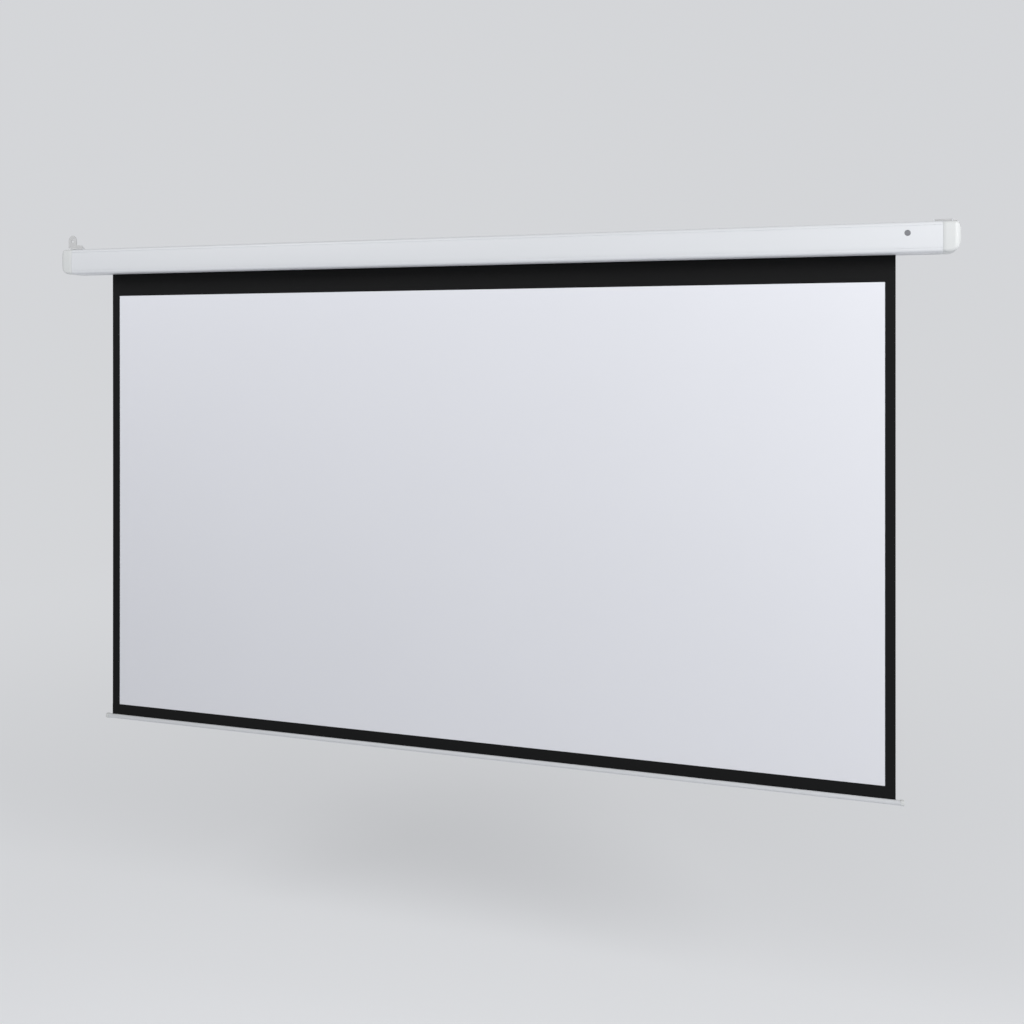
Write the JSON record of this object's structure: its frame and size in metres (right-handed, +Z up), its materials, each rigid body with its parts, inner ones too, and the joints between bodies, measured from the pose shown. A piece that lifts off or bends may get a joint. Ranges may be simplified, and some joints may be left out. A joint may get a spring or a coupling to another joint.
{
  "type": "motorized projector screen",
  "caption": "Wall or ceiling projector screen with a tube motor: white case, black-bordered white surface let down on a weight bar, folding hanger eyes.",
  "frame": {"origin": "middle of the flat back of the case, where it meets the wall", "axes": "+X along the case towards the motor end, +Y towards the wall, +Z up"},
  "size_m": [2.5578, 0.0734, 1.4765],
  "materials": {
    "case_paint": "satin white paint",
    "cap_plastic": "moulded white",
    "steel": "plain",
    "zinc": "zinc plated",
    "screen_white": "matt white vinyl coat",
    "screen_black": "matt black vinyl cloth",
    "bar_paint": "satin",
    "bar_cap": "moulded white",
    "black_plastic": "moulded",
    "grey_plastic": "moulded",
    "aluminium": "extruded",
    "brass": "turned",
    "copper": "wound wire",
    "board": "solder mask",
    "amber_plastic": "moulded",
    "rubber": "soft",
    "window": "dark see-through"
  },
  "bodies": {
    "housing": {"case_shell": "case_paint", "end_cap_left": "cap_plastic", "end_cap_right": "cap_plastic", "end_plate_left": "steel", "end_plate_right": "steel", "cap_screw_left_upper": "zinc", "cap_screw_left_lower": "zinc", "cap_screw_right_upper": "zinc", "cap_screw_right_lower": "zinc", "hanger_base_left": "case_paint", "hanger_base_right": "case_paint", "hanger_pin_left": "zinc", "hanger_pin_right": "zinc", "idler_pin": "steel", "motor_head": "black_plastic", "motor_tube": "steel", "stator": "copper", "brake_coil": "copper", "rotor_bearing_rear": "steel", "rotor_bearing_front": "steel", "ring_gear": "grey_plastic", "nose_bush": "brass", "limit_switch_unit": "grey_plastic", "run_capacitor": "grey_plastic", "control_board": "board", "terminal_block": "grey_plastic", "receiver_window": "window", "infrared_sensor": "black_plastic", "cable_grommet": "rubber", "screen_fabric": "screen_black", "viewing_surface": "screen_white"},
    "roller": {"roller_tube": "aluminium", "fabric_spline": "grey_plastic", "fabric_turns": "screen_black", "idler_bush": "brass", "idler_plug": "grey_plastic", "crown_ring": "grey_plastic", "drive_wheel": "grey_plastic", "planet_carrier": "steel"},
    "rotor": {"rotor": "steel", "sun_gear": "steel"},
    "planet_1": {"planet_gear_1": "brass"},
    "planet_2": {"planet_gear_2": "brass"},
    "planet_3": {"planet_gear_3": "brass"},
    "bar": {"weight_bar": "bar_paint", "bar_cap_left": "bar_cap", "bar_cap_right": "bar_cap", "hem_strip": "screen_black", "hem_rod": "steel"},
    "limit_down": {"limit_screw_down": "amber_plastic"},
    "limit_up": {"limit_screw_up": "amber_plastic"},
    "hanger_left": {"hanger_eye_left": "zinc"},
    "hanger_right": {"hanger_eye_right": "zinc"}
  },
  "joints": [
    {"name": "screen_drop", "type": "slide", "parent": "housing", "child": "bar", "axis": [0, 0, 1], "range_m": [0, 1.3405], "deforming": ["screen_fabric", "viewing_surface"]},
    {"name": "roller_spin", "type": "hinge", "parent": "housing", "child": "roller", "pos_m": [0, -0.041, 0], "axis": [1, 0, 0], "range_deg": [0, 2945]},
    {"name": "rotor_spin", "type": "hinge", "parent": "housing", "child": "rotor", "pos_m": [0.997, -0.041, 0], "axis": [1, 0, 0], "range_deg": [0, 13250]},
    {"name": "planet_1_spin", "type": "hinge", "parent": "roller", "child": "planet_1", "pos_m": [0.997, -0.041, 0.00891], "axis": [1, 0, 0], "range_deg": [-8250, 0]},
    {"name": "planet_2_spin", "type": "hinge", "parent": "roller", "child": "planet_2", "pos_m": [0.997, -0.04872, -0.00445], "axis": [1, 0, 0], "range_deg": [-8250, 0]},
    {"name": "planet_3_spin", "type": "hinge", "parent": "roller", "child": "planet_3", "pos_m": [0.997, -0.03328, -0.00445], "axis": [1, 0, 0], "range_deg": [-8250, 0]},
    {"name": "limit_down_turn", "type": "hinge", "parent": "housing", "child": "limit_down", "pos_m": [1.213, -0.041, -0.0235], "axis": [0, 0, 1], "range_deg": [-1800, 1800]},
    {"name": "limit_up_turn", "type": "hinge", "parent": "housing", "child": "limit_up", "pos_m": [1.225, -0.041, -0.0235], "axis": [0, 0, 1], "range_deg": [-1800, 1800]},
    {"name": "hanger_left_fold", "type": "hinge", "parent": "housing", "child": "hanger_left", "pos_m": [-1.2365, -0.041, 0.0419], "axis": [-1, 0, 0], "range_deg": [0, 90]},
    {"name": "hanger_right_fold", "type": "hinge", "parent": "housing", "child": "hanger_right", "pos_m": [1.2365, -0.041, 0.0419], "axis": [1, 0, 0], "range_deg": [0, 90]}
  ],
  "couplings": [
    {"joint": "roller_spin", "follows": "screen_drop", "rad_per_m": 38.27},
    {"joint": "rotor_spin", "follows": "screen_drop", "rad_per_m": 172.22},
    {"joint": "planet_1_spin", "follows": "screen_drop", "rad_per_m": -107.16},
    {"joint": "planet_2_spin", "follows": "screen_drop", "rad_per_m": -107.16},
    {"joint": "planet_3_spin", "follows": "screen_drop", "rad_per_m": -107.16}
  ]
}
